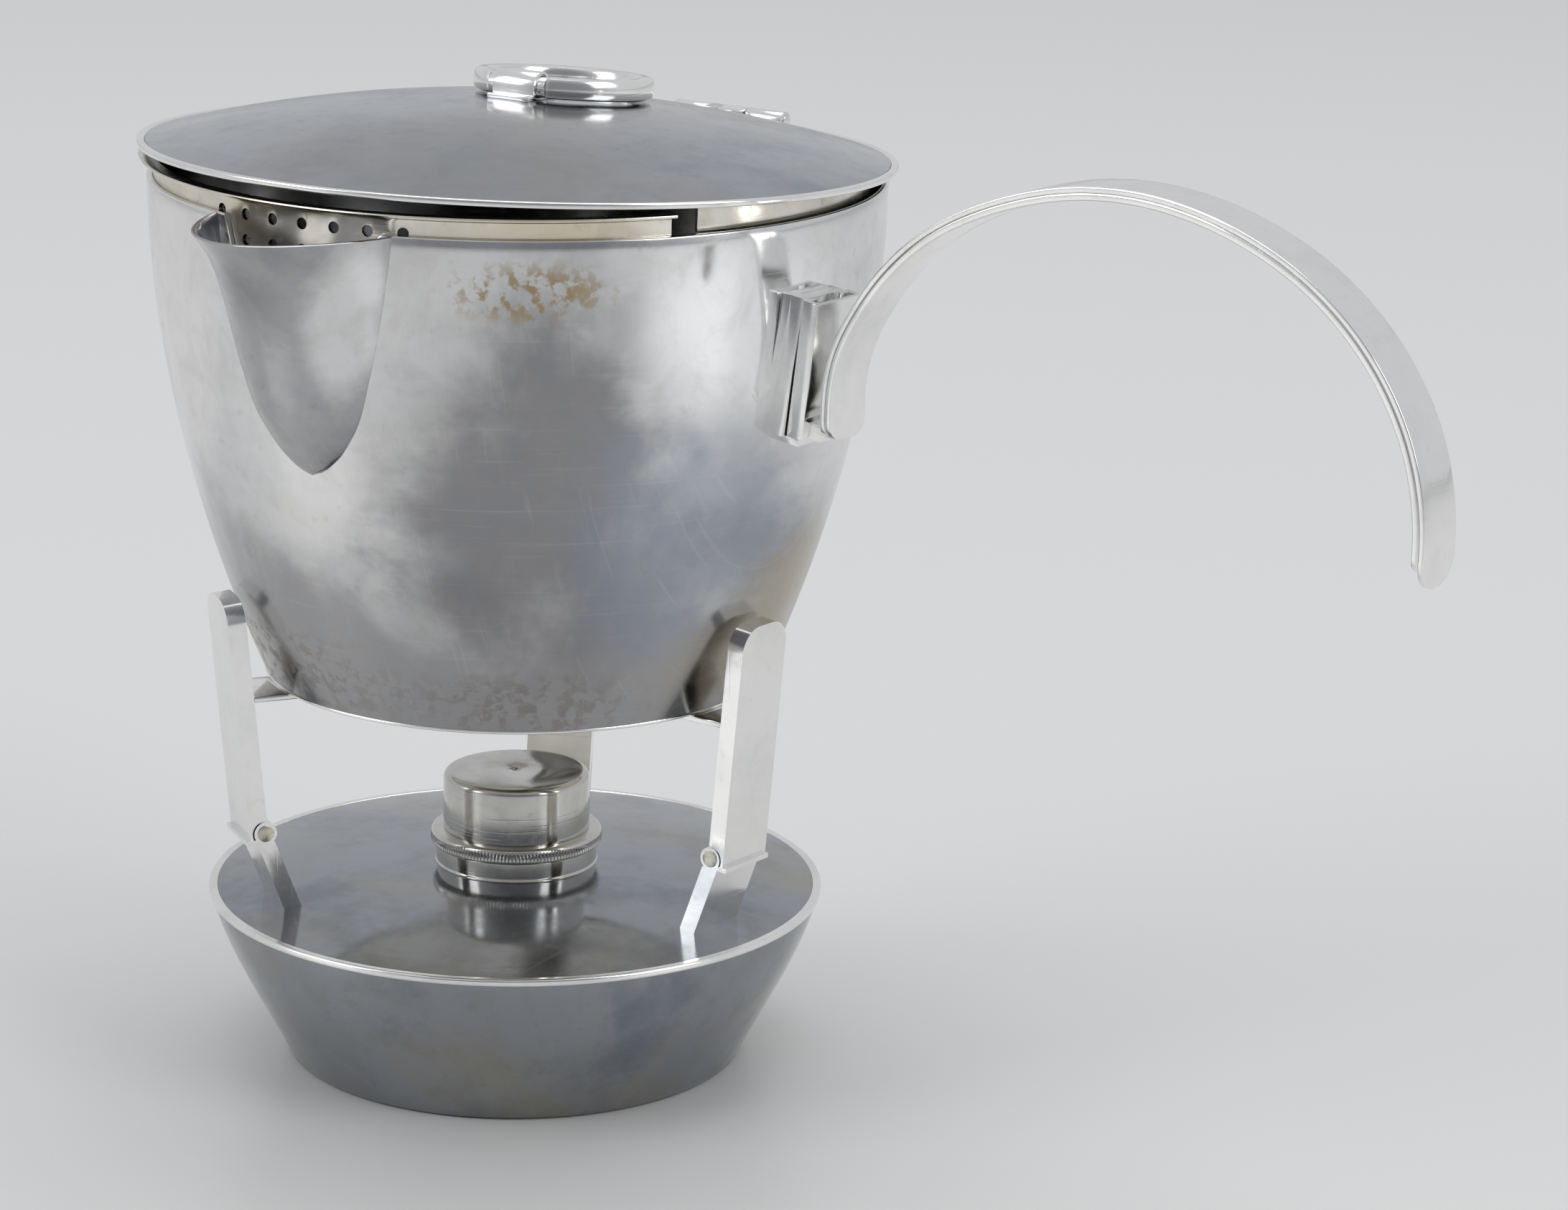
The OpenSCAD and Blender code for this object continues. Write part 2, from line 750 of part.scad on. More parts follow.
module ring_strap() {
    half = strap_w / 2;
    out_r = bar_r + run_gap + strap_t;
    silver() at_lid() difference() {
        union() {
            strap_rod(out_r, half);
            translate([-half, -out_r, apex_z - 1]) cube([strap_w, out_r * 2, bar_z - apex_z + 1]);
            translate([-half, -out_r - 1.6, apex_z - 1]) cube([strap_w, 2 * out_r + 3.2, 1.8]);
        }
        strap_rod(bar_r + run_gap, half + 1);
        lid_fill();
    }
}

module lid_ring() {
    h = ring_h / 2;
    b = ring_bar / 2;
    c = 0.9;
    silver() at_lid() translate([0, 0, bar_z]) rotate([-ring_droop, 0, 0]) union() {
        translate([-bar_half - 0.3, 0, 0]) rotate([0, 90, 0]) cylinder(r = bar_r, h = 2 * bar_half + 0.6);
        translate([0, ring_off, 0]) rotate([0, 0, bar_arc - 90])
            rotate_extrude(angle = 360 - 2 * bar_arc) translate([ring_mid, 0]) polygon([
                [-b, -h + c],
                [-b + c * 0.3, -h + c * 0.3],
                [-b + c, -h],
                [b - c, -h],
                [b - c * 0.3, -h + c * 0.3],
                [b, -h + c],
                [b, h - c],
                [b - c * 0.3, h - c * 0.3],
                [b - c, h],
                [-b + c, h],
                [-b + c * 0.3, h - c * 0.3],
                [-b, h - c]
            ]);
    }
}

module leg_stub_1() leg_stub(1);
module leg_pin_1() leg_pin(1);
module leg_bar_1() leg_bar(1);
module leg_bracket_1() leg_bracket(1);
module leg_stub_2() leg_stub(2);
module leg_pin_2() leg_pin(2);
module leg_bar_2() leg_bar(2);
module leg_bracket_2() leg_bracket(2);
module leg_stub_3() leg_stub(3);
module leg_pin_3() leg_pin(3);
module leg_bar_3() leg_bar(3);
module leg_bracket_3() leg_bracket(3);

base_dish();
base_top_plate();
base_rim_wire();
filler_collar();
wick_holder();
wick_tube();
wick();
snuffer_cap();
leg_stub_1();
leg_pin_1();
leg_bar_1();
leg_bracket_1();
leg_stub_2();
leg_pin_2();
leg_bar_2();
leg_bracket_2();
leg_stub_3();
leg_pin_3();
leg_bar_3();
leg_bracket_3();
kettle_body();
kettle_bottom();
kettle_foot_wire();
spout_lip();
strainer_band();
handle_rail();
handle_sleeve();
handle_outer_strip();
handle_inner_strip();
lid_hinge_seat();
lid_hinge_pin();
lid_hinge_leaf();
lid_dome();
lid_edge_wire();
lid_flange();
ring_strap();
lid_ring();
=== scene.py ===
import math
from collections import namedtuple

import bmesh
import bpy
from mathutils import Matrix, Vector


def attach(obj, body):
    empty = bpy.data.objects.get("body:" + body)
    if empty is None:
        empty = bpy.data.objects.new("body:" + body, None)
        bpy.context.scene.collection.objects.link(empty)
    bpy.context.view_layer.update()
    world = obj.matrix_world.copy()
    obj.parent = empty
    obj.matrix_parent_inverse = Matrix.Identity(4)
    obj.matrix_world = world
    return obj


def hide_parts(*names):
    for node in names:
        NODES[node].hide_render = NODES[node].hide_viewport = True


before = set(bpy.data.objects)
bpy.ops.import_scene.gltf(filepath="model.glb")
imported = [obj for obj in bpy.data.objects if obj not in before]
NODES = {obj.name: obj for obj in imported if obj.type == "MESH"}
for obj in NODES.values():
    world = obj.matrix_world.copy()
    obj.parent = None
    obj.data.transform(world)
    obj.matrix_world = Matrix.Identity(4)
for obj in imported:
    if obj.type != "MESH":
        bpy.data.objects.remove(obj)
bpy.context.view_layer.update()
MM = 0.001

# Sizes in millimetres and angles in degrees, the same as the part's own
FOOT_R = 41.5
BASE_R = 56.0
BASE_H = 31.3
BASE_DOME = 4.2
BASE_WALL = 1.2
BASE_RIM = 1.2
DOME_R = BASE_R - 1.6
COLLAR_R = 14.6
NECK_R = 12.6
FLANGE_Z = 38.6
CAP_Z = 41.5
CAP_R = 13.35
CAP_H = 10.6
CAP_WALL = 1.0
FLANGE_R = 15.6
HOLDER_R = 12.54
HOLDER_LOW = FLANGE_Z - 7.0
HOLDER_IN = 11.2
TUBE_R = 4.4
BODY_Z = 73.0
SEAT_Z = 72.4
MOUTH_Z = 162.4
BOTTOM_R = 45.4
MOUTH_R = 65.1
SIDE_CURVE = 1.93
WALL = 1.1
SPOUT_TURN = 5.0
STRAINER_ARC = 58.0
STRAINER_UP = 3.8
STRAINER_DEPTH = 16.4
STRAINER_T = 0.8
HOLE_R = 1.0
HOLE_STEP = 5.6
HOLE_TURN = 1.0
HOLE_ROWS = 4
FIRST_ROW = 0.3
ROW_STEP = 4.4
LIP_LOW = 119.15
LIP_TOP = 162.1
LIP_T = 1.0
LID_R = 66.8
LID_Z = 162.5
LID_H = 9.8
LID_REST = 2.57
LID_HINGE_Y = LID_R + 2.4
LID_HINGE_Z = LID_Z + 0.9
APEX_Z = LID_Z + LID_H
CAP_EDGE = LID_R - 1.4
LID_T = 0.9
WIRE_H = 1.1
LID_FLANGE_R = 62.7
LID_FLANGE_T = 0.8
LID_FLANGE_DROP = 4.6
GRIP_X = 70.416
GRIP_Z = 125.5
HANDLE_REACH = 116.4
HANDLE_RISE = 50.2
HANDLE_W = 10.0
OUTER_T = 1.0
STRIP_T = 2.3
STRIP_SEAM = 0.02
TIP_ROUND = 4.6
FOOT_ROUND = 3.0
PLY_SHORT = 2.8
PLY_ROUND = 2.4
STATION = 0.8

# The photograph's camera: focal length and width in pixels, place in metres
FOCAL_PX = 6555.0
PHOTO_PX = 2184.0
SENSOR = 36.0
CAMERA_AT = (0.0, -0.8210, 0.3081)
CAMERA_TURNS = (3.361, 15.288, 1.137, 40.0)

FLOOR_R = 14.0
SKY_FACING = (0.64, -0.77, 0.0)
SKY_PALE = (0.60, 0.61, 0.63, 1)
SKY_DIM = (0.22, 0.23, 0.25, 1)


def side_wall(z):
    t = (z - BODY_Z) / (MOUTH_Z - BODY_Z)
    return BOTTOM_R + (MOUTH_R - BOTTOM_R) * (1 - max(0.0, 1 - t) ** SIDE_CURVE)


def spline(keys, x):
    """Smooth value through (x, y) keys, which rise in x."""
    if x <= keys[0][0]:
        return keys[0][1]
    if x >= keys[-1][0]:
        return keys[-1][1]
    i = max(j for j in range(len(keys) - 1) if keys[j][0] <= x)
    (x0, y0), (x1, y1) = keys[i], keys[i + 1]

    def slope(j):
        a, b = max(0, j - 1), min(len(keys) - 1, j + 1)
        return (keys[b][1] - keys[a][1]) / (keys[b][0] - keys[a][0])

    h = x1 - x0
    t = (x - x0) / h
    return (
        (2 * t**3 - 3 * t**2 + 1) * y0
        + (t**3 - 2 * t**2 + t) * h * slope(i)
        + (3 * t**2 - 2 * t**3) * y1
        + (t**3 - t**2) * h * slope(i + 1)
    )


def soften(loop, radius, steps=4, least=20.0):
    """Rounds the corners of a closed loop of 2-D points."""
    out = []
    n = len(loop)
    for i in range(n):
        p = Vector(loop[i])
        a, b = Vector(loop[i - 1]) - p, Vector(loop[(i + 1) % n]) - p
        turn = 180 - math.degrees(a.angle(b, math.pi)) if a.length * b.length > 0 else 0
        if turn < least or p.x < 1e-6:
            out.append(tuple(p))
            continue
        cut = min(
            radius * math.tan(math.radians(turn) / 2), a.length * 0.45, b.length * 0.45
        )
        start, end = p + a.normalized() * cut, p + b.normalized() * cut
        for k in range(steps + 1):
            t = k / steps
            q = start * (1 - t) ** 2 + p * 2 * t * (1 - t) + end * t**2
            out.append(tuple(q))
    return out


def make(name, verts, faces, body, nodes, material, sharp=32.0, slot="silver"):
    """A piece from vertices in millimetres."""
    mesh = bpy.data.meshes.new(name)
    mesh.from_pydata([(x * MM, y * MM, z * MM) for x, y, z in verts], [], faces)
    bm = bmesh.new()
    bm.from_mesh(mesh)
    bmesh.ops.remove_doubles(bm, verts=bm.verts, dist=1e-7)
    bmesh.ops.recalc_face_normals(bm, faces=bm.faces)
    bm.to_mesh(mesh)
    bm.free()
    return piece(name, mesh, body, nodes, material, sharp)


def piece(name, mesh, body, nodes, material, sharp=32.0):
    """Puts a mesh in the scene on its body, in place of its nodes."""
    for p in mesh.polygons:
        p.use_smooth = True
    mesh.set_sharp_from_angle(angle=math.radians(sharp))
    obj = bpy.data.objects.new(name, mesh)
    bpy.context.scene.collection.objects.link(obj)
    obj.data.materials.clear()
    obj.data.materials.append(material)
    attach(obj, body)
    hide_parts(*nodes)
    return obj


def lathe(loop, turns=256, start=0.0, arc=360.0, place=None):
    """Vertices and faces of a closed (radius, height) loop turned about Z."""
    full = arc >= 360
    cols = turns if full else turns + 1
    verts, rows, faces = [], [], []
    for r, z in loop:
        if r < 1e-6:
            verts.append((0.0, 0.0, z))
            rows.append([len(verts) - 1] * cols)
            continue
        row = []
        for i in range(cols):
            a = math.radians(start + arc * i / turns)
            verts.append((r * math.cos(a), r * math.sin(a), z))
            row.append(len(verts) - 1)
        rows.append(row)
    n = len(loop)
    for j in range(n):
        a, b = rows[j], rows[(j + 1) % n]
        for i in range(cols if full else cols - 1):
            k = (i + 1) % cols
            f = []
            for v in (a[i], a[k], b[k], b[i]):
                if v not in f:
                    f.append(v)
            if len(f) > 2:
                faces.append(f)
    if not full:
        faces.append([row[0] for row in rows])
        faces.append([row[-1] for row in rows][::-1])
    if place:
        verts = [tuple(place @ Vector(v)) for v in verts]
    return verts, faces


AT_SPOUT = Matrix.Rotation(math.radians(SPOUT_TURN), 4, "Z")
HINGE = Matrix.Translation((0, LID_HINGE_Y, LID_HINGE_Z))
AT_LID = (
    AT_SPOUT @ HINGE @ Matrix.Rotation(math.radians(-LID_REST), 4, "X") @ HINGE.inverted()
)


# Materials

# A patch of colour, tarnish on some pieces and painted shade or painted highlight on others: its
# middle, half width and half height in millimetres, its colour, how strong it is, how much rougher
# it makes the silver, and whether it is pitted
Zone = namedtuple("Zone", "at wide high colour amount rougher pitted", defaults=(False,))


def link(tree, a, b):
    tree.links.new(a, b)


def silver(
    name,
    seed=0.0,
    light=(0.88, 0.87, 0.845),
    warm=(0.66, 0.60, 0.50),
    cool=(0.47, 0.49, 0.52),
    warm_amount=0.35,
    cool_amount=0.45,
    rough=0.10,
    wave=0.25,
    scratch=0.12,
    specks=0.35,
    mottling=0.18,
    zones=(),
):
    """Old polished silver: tarnish in patches, hairline scratches and the hammer's slight waves,
    with listed patches of tarnish, painted shade or painted highlight.
    """
    mat = bpy.data.materials.new(name)
    mat.use_nodes = True
    t = mat.node_tree
    new = t.nodes.new
    shader = t.nodes["Principled BSDF"]
    shader.inputs["Metallic"].default_value = 1.0
    coord = new("ShaderNodeTexCoord")
    place = new("ShaderNodeMapping")
    place.inputs["Location"].default_value = (seed, seed * 0.7, -seed * 1.3)
    link(t, coord.outputs["Object"], place.inputs["Vector"])

    def noise(scale, detail=4.0, rough_=0.55, stretch=None, distortion=0.0):
        n = new("ShaderNodeTexNoise")
        n.inputs["Scale"].default_value = scale
        n.inputs["Detail"].default_value = detail
        n.inputs["Roughness"].default_value = rough_
        n.inputs["Distortion"].default_value = distortion
        if stretch:
            m = new("ShaderNodeMapping")
            m.inputs["Scale"].default_value = stretch[:3]
            m.inputs["Rotation"].default_value = stretch[3:]
            link(t, place.outputs["Vector"], m.inputs["Vector"])
            link(t, m.outputs["Vector"], n.inputs["Vector"])
        else:
            link(t, place.outputs["Vector"], n.inputs["Vector"])
        return n.outputs["Fac"]

    def ramp(value, lo, hi, a=0.0, b=1.0):
        r = new("ShaderNodeMapRange")
        r.interpolation_type = "SMOOTHSTEP"
        r.inputs["From Min"].default_value = lo
        r.inputs["From Max"].default_value = hi
        r.inputs["To Min"].default_value = a
        r.inputs["To Max"].default_value = b
        link(t, value, r.inputs["Value"])
        return r.outputs["Result"]

    def maths(kind, a, b):
        m = new("ShaderNodeMath")
        m.operation = kind
        for socket, v in zip(m.inputs, (a, b)):
            if isinstance(v, (int, float)):
                socket.default_value = v
            else:
                link(t, v, socket)
        return m.outputs["Value"]

    def mix(fac, a, b):
        m = new("ShaderNodeMix")
        m.data_type = "RGBA"
        for key, v in (("Factor", fac), ("A", a), ("B", b)):
            socket = next(
                s
                for s in m.inputs
                if s.name == key and (s.type == "RGBA" or key == "Factor") and s.enabled
            )
            if isinstance(v, tuple):
                socket.default_value = (*v, 1.0)
            elif isinstance(v, (int, float)):
                socket.default_value = v
            else:
                link(t, v, socket)
        return next(s for s in m.outputs if s.type == "RGBA")

    cloud = noise(22.0, 5.0, 0.6, distortion=0.4)
    cloud2 = noise(46.0, 6.0, 0.65)
    fine = noise(420.0, 3.0, 0.6)
    grain = noise(1700.0, 2.0, 0.5)
    warm_mask = maths("MULTIPLY", ramp(cloud, 0.46, 0.72), warm_amount)
    cool_mask = maths("MULTIPLY", ramp(cloud2, 0.45, 0.70), cool_amount)
    colour = mix(cool_mask, light, cool)
    colour = mix(warm_mask, colour, warm)
    speck = ramp(fine, 0.60, 0.74, 0.0, specks)
    colour = mix(speck, colour, tuple(c * 0.72 for c in warm))
    roughness = ramp(cloud2, 0.35, 0.70, rough, rough + 0.10)
    roughness = maths("ADD", roughness, ramp(fine, 0.50, 0.75, 0.0, 0.07))
    height = maths("MULTIPLY", grain, 0.02)
    for zone in zones:
        shift = new("ShaderNodeVectorMath")
        shift.operation = "SUBTRACT"
        link(t, coord.outputs["Object"], shift.inputs[0])
        shift.inputs[1].default_value = tuple(v * MM for v in zone.at)
        size = new("ShaderNodeVectorMath")
        size.operation = "MULTIPLY"
        link(t, shift.outputs["Vector"], size.inputs[0])
        across = 1 / (zone.wide * MM)
        size.inputs[1].default_value = (across, across, 1 / (zone.high * MM))
        reach = new("ShaderNodeVectorMath")
        reach.operation = "LENGTH"
        link(t, size.outputs["Vector"], reach.inputs[0])
        if zone.pitted:
            near = ramp(reach.outputs["Value"], 1.0, 0.25)
            mask = maths("MULTIPLY", near, ramp(fine, 0.46, 0.60))
            height = maths("SUBTRACT", height, maths("MULTIPLY", mask, 0.15))
        else:
            edge = maths("ADD", reach.outputs["Value"], ramp(cloud, 0.25, 0.75, -0.30, 0.30))
            edge = maths("ADD", edge, ramp(cloud2, 0.30, 0.70, -0.12, 0.12))
            mask = ramp(edge, 1.22, 0.42)
        colour = mix(maths("MULTIPLY", mask, zone.amount), colour, zone.colour)
        roughness = maths("ADD", roughness, maths("MULTIPLY", mask, zone.rougher))
    line1 = noise(60.0, 2.0, 0.5, (1.0, 0.03, 34.0, 0.3, 0.9, 0.2))
    line2 = noise(60.0, 2.0, 0.5, (30.0, 0.04, 1.0, -0.5, 0.3, 1.2))
    lines = maths(
        "ADD", ramp(line1, 0.62, 0.70, 0.0, 1.0), ramp(line2, 0.63, 0.70, 0.0, 1.0)
    )
    height = maths("SUBTRACT", height, maths("MULTIPLY", lines, scratch))
    scratched = tuple(min(1.0, c * 1.25) for c in light)
    colour = mix(maths("MULTIPLY", lines, scratch * 0.4), colour, scratched)
    mottle = maths("MULTIPLY", ramp(noise(105.0, 7.0, 0.68, distortion=0.6), 0.42, 0.66), mottling)
    colour = mix(mottle, colour, tuple(c * 0.62 for c in warm))
    link(t, colour, shader.inputs["Base Color"])
    link(t, roughness, shader.inputs["Roughness"])
    bump = new("ShaderNodeBump")
    bump.inputs["Strength"].default_value = 0.10
    bump.inputs["Distance"].default_value = 0.0004
    link(t, height, bump.inputs["Height"])
    waves = new("ShaderNodeBump")
    waves.inputs["Strength"].default_value = wave
    waves.inputs["Distance"].default_value = 0.0008
    link(t, noise(38.0, 1.0, 0.4), waves.inputs["Height"])
    link(t, waves.outputs["Normal"], bump.inputs["Normal"])
    link(t, bump.outputs["Normal"], shader.inputs["Normal"])
    return mat


BODY_SILVER = silver(
    "body_silver",
    0.31,
    light=(0.80, 0.80, 0.80),
    warm=(0.64, 0.61, 0.56),
    cool=(0.56, 0.59, 0.64),
    warm_amount=0.30,
    cool_amount=0.45,
    rough=0.09,
    specks=0.22,
    zones=(
        # Darker on the lower half, all round
        Zone((0.0, 0.0, 68.0), 300.0, 46.0, (0.30, 0.30, 0.31), 0.85, 0.04),
        # Painted dark reflection in the middle, and a bluish painted reflection towards the handle
        Zone((40.0, -46.0, 116.0), 30.0, 40.0, (0.23, 0.23, 0.245), 0.90, 0.04),
        Zone((62.0, -20.0, 108.0), 28.0, 26.0, (0.30, 0.34, 0.41), 0.65, 0.03),
        # Painted highlights standing in for bright window reflections, by the handle and by the lip
        Zone((64.0, -12.0, 146.0), 22.0, 17.0, (0.95, 0.96, 0.97), 0.90, -0.02),
        Zone((-30.0, -58.0, 140.0), 17.0, 24.0, (0.88, 0.85, 0.84), 0.80, 0.02),
        # Tarnish on the sides away from the lip
        Zone((-64.0, 20.0, 124.0), 44.0, 34.0, (0.34, 0.35, 0.37), 0.75, 0.05),
        Zone((10.0, 64.0, 120.0), 40.0, 34.0, (0.32, 0.32, 0.33), 0.75, 0.05),
        # Pits under the rim and along the bottom edge
        Zone((43.0, -48.0, 153.5), 19.0, 7.0, (0.42, 0.30, 0.14), 0.85, 0.30, True),
        Zone((30.0, -33.0, 78.0), 26.0, 10.0, (0.22, 0.19, 0.15), 0.45, 0.12, True),
        Zone((-10.0, -42.0, 80.0), 34.0, 12.0, (0.22, 0.19, 0.15), 0.40, 0.12, True),
        # Yellowed silver behind the legs
        Zone((50.0, 10.0, 84.0), 24.0, 18.0, (0.46, 0.38, 0.24), 0.55, 0.08),
        Zone((-30.0, -30.0, 80.0), 16.0, 14.0, (0.42, 0.36, 0.25), 0.55, 0.08),
    ),
)
# Spout silver darkened to stand in for the dark reflections it shows
SPOUT_SILVER = silver(
    "spout_silver",
    0.62,
    light=(0.46, 0.46, 0.47),
    warm=(0.38, 0.36, 0.33),
    cool=(0.28, 0.30, 0.33),
    warm_amount=0.30,
    cool_amount=0.60,
    rough=0.10,
    specks=0.22,
    zones=(
        # Painted dark reflection at the tip, then a narrow painted highlight at the lip's right
        # side
        Zone((2.0, -84.0, 146.0), 13.0, 15.0, (0.20, 0.20, 0.20), 0.85, 0.03),
        Zone((19.0, -66.0, 146.0), 7.0, 18.0, (0.80, 0.80, 0.80), 0.80, 0.0),
    ),
)
# Lid silver darkened to stand in for the dark reflections it shows, over real tarnish
LID_SILVER = silver(
    "lid_silver",
    1.7,
    light=(0.40, 0.42, 0.45),
    warm=(0.36, 0.33, 0.29),
    cool=(0.25, 0.28, 0.33),
    warm_amount=0.50,
    cool_amount=0.65,
    rough=0.11,
    specks=0.30,
    zones=(
        # Painted darker reflections, grey at the front and bluish on the left
        Zone((24.0, -40.0, 168.0), 30.0, 60.0, (0.30, 0.30, 0.29), 0.50, 0.04),
        Zone((-40.0, 10.0, 168.0), 36.0, 60.0, (0.25, 0.29, 0.34), 0.50, 0.04),
    ),
)
# Base silver darkened to stand in for the dark reflections it shows, with real tarnish patches
BASE_SILVER = silver(
    "base_silver",
    2.9,
    light=(0.33, 0.35, 0.38),
    warm=(0.40, 0.35, 0.24),
    cool=(0.19, 0.215, 0.25),
    warm_amount=0.45,
    cool_amount=0.75,
    rough=0.07,
    specks=0.28,
)
BRIGHT_SILVER = silver(
    "bright_silver",
    4.1,
    light=(0.92, 0.915, 0.90),
    warm_amount=0.16,
    cool_amount=0.22,
    rough=0.09,
    wave=0.12,
    specks=0.10,
    mottling=0.06,
)
CAP_SILVER = silver(
    "cap_silver",
    3.3,
    light=(0.62, 0.61, 0.58),
    warm=(0.44, 0.40, 0.33),
    cool=(0.32, 0.33, 0.35),
    warm_amount=0.40,
    cool_amount=0.50,
    rough=0.10,
    specks=0.20,
)
PIN_SILVER = silver(
    "pin_silver",
    6.1,
    light=(0.70, 0.67, 0.54),
    warm=(0.56, 0.50, 0.34),
    warm_amount=0.5,
    rough=0.16,
)
INNER_SILVER = silver(
    "inner_silver",
    5.3,
    light=(0.80, 0.77, 0.70),
    warm=(0.62, 0.50, 0.30),
    warm_amount=0.55,
    rough=0.16,
)


def plain(name, colour, dark, rough, metal, scale, bump_distance, stretch=(1, 1, 1)):
    """One substance with a fine grain between two colours."""
    mat = bpy.data.materials.new(name)
    mat.use_nodes = True
    t = mat.node_tree
    shader = t.nodes["Principled BSDF"]
    shader.inputs["Metallic"].default_value = metal
    coord = t.nodes.new("ShaderNodeTexCoord")
    place = t.nodes.new("ShaderNodeMapping")
    place.inputs["Scale"].default_value = stretch
    n = t.nodes.new("ShaderNodeTexNoise")
    n.inputs["Scale"].default_value = scale
    n.inputs["Detail"].default_value = 5.0
    link(t, coord.outputs["Object"], place.inputs["Vector"])
    link(t, place.outputs["Vector"], n.inputs["Vector"])
    ramp = t.nodes.new("ShaderNodeValToRGB")
    ramp.color_ramp.elements[0].position = 0.35
    ramp.color_ramp.elements[0].color = (*dark, 1)
    ramp.color_ramp.elements[1].position = 0.65
    ramp.color_ramp.elements[1].color = (*colour, 1)
    link(t, n.outputs["Fac"], ramp.inputs["Fac"])
    link(t, ramp.outputs["Color"], shader.inputs["Base Color"])
    rough_map = t.nodes.new("ShaderNodeMapRange")
    rough_map.inputs["To Min"].default_value = rough * 0.8
    rough_map.inputs["To Max"].default_value = min(1.0, rough * 1.25)
    link(t, n.outputs["Fac"], rough_map.inputs["Value"])
    link(t, rough_map.outputs["Result"], shader.inputs["Roughness"])
    bump = t.nodes.new("ShaderNodeBump")
    bump.inputs["Strength"].default_value = 0.4
    bump.inputs["Distance"].default_value = bump_distance
    link(t, n.outputs["Fac"], bump.inputs["Height"])
    link(t, bump.outputs["Normal"], shader.inputs["Normal"])
    return mat


TUBE_BRASS = plain("tube_brass", (0.76, 0.60, 0.34), (0.56, 0.42, 0.22), 0.32, 1.0, 260.0, 0.00005)
COTTON = plain(
    "cotton", (0.82, 0.78, 0.68), (0.60, 0.55, 0.46), 0.9, 0.0, 900.0, 0.0004, (3, 3, 0.5)
)


# Camera, fitted to the photograph


def camera():
    yaw, pitch, roll, turn = (math.radians(a) for a in CAMERA_TURNS)
    spin = Matrix.Rotation(turn, 3, "Z")
    ahead = Vector(
        (math.sin(yaw) * math.cos(pitch), math.cos(yaw) * math.cos(pitch), -math.sin(pitch))
    )
    right = Vector((math.cos(yaw), -math.sin(yaw), 0))
    up = right.cross(ahead)
    x = spin @ (right * math.cos(roll) + up * math.sin(roll))
    y = spin @ (up * math.cos(roll) - right * math.sin(roll))
    z = -(spin @ ahead)
    data = bpy.data.cameras.new("camera")
    data.sensor_width = SENSOR
    data.sensor_fit = "HORIZONTAL"
    data.lens = FOCAL_PX / PHOTO_PX * SENSOR
    data.clip_start = 0.01
    obj = bpy.data.objects.new("camera", data)
    bpy.context.scene.collection.objects.link(obj)
    place = Matrix((x, y, z)).transposed().to_4x4()
    place.translation = spin @ Vector(CAMERA_AT)
    obj.matrix_world = place
    bpy.context.scene.camera = obj


camera()


# Base


def base_side(t):
    return FOOT_R + (BASE_R - 0.6 - FOOT_R) * (t + 0.48 * t * t * (1 - t))


def dome_z(r):
    return BASE_H + BASE_DOME * (1 - (r / DOME_R) ** 2)


side_top = BASE_H - BASE_RIM
n = 40
loop = [(0.0, 0.0), (FOOT_R - 1.0, 0.0), (FOOT_R - 0.35, 0.12), (base_side(0.02) - 0.05, 0.6)]
loop += [(base_side(i / n), side_top * i / n) for i in range(2, n + 1)]
loop += [(base_side(i / n) - BASE_WALL, side_top * i / n) for i in range(n, 1, -1)]
loop += [(FOOT_R - BASE_WALL, BASE_WALL), (0.0, BASE_WALL)]
make("base_dish_fine", *lathe(loop, 288), "stand", ["base_dish"], BASE_SILVER)

loop = [(DOME_R - (DOME_R - NECK_R) * i / n, 0) for i in range(n + 1)]
loop = [(r, dome_z(r)) for r, _ in loop] + [(r, dome_z(r) - BASE_WALL) for r, _ in loop[::-1]]
make("base_top_fine", *lathe(loop, 288), "stand", ["base_top_plate"], BASE_SILVER)

loop = [
    (DOME_R, BASE_H - BASE_WALL),
    (BASE_R, BASE_H - BASE_WALL),
    (BASE_R, BASE_H + 0.12),
    (DOME_R + 0.2, BASE_H + 0.12),
    (DOME_R, BASE_H),
]
make("base_rim_fine", *lathe(soften(loop, 0.55, 6), 288), "stand", ["base_rim_wire"], BRIGHT_SILVER)

loop = [
    (NECK_R, dome_z(NECK_R) - 0.4),
    (COLLAR_R + 0.25, dome_z(COLLAR_R) - 0.4),
    (COLLAR_R + 0.25, dome_z(COLLAR_R) + 0.12),
    (COLLAR_R, dome_z(COLLAR_R) + 0.4),
    (COLLAR_R, FLANGE_Z - 0.02),
    (NECK_R, FLANGE_Z - 0.02),
]
make("collar_fine", *lathe(soften(loop, 0.2), 192), "stand", ["filler_collar"], CAP_SILVER)


# Burner


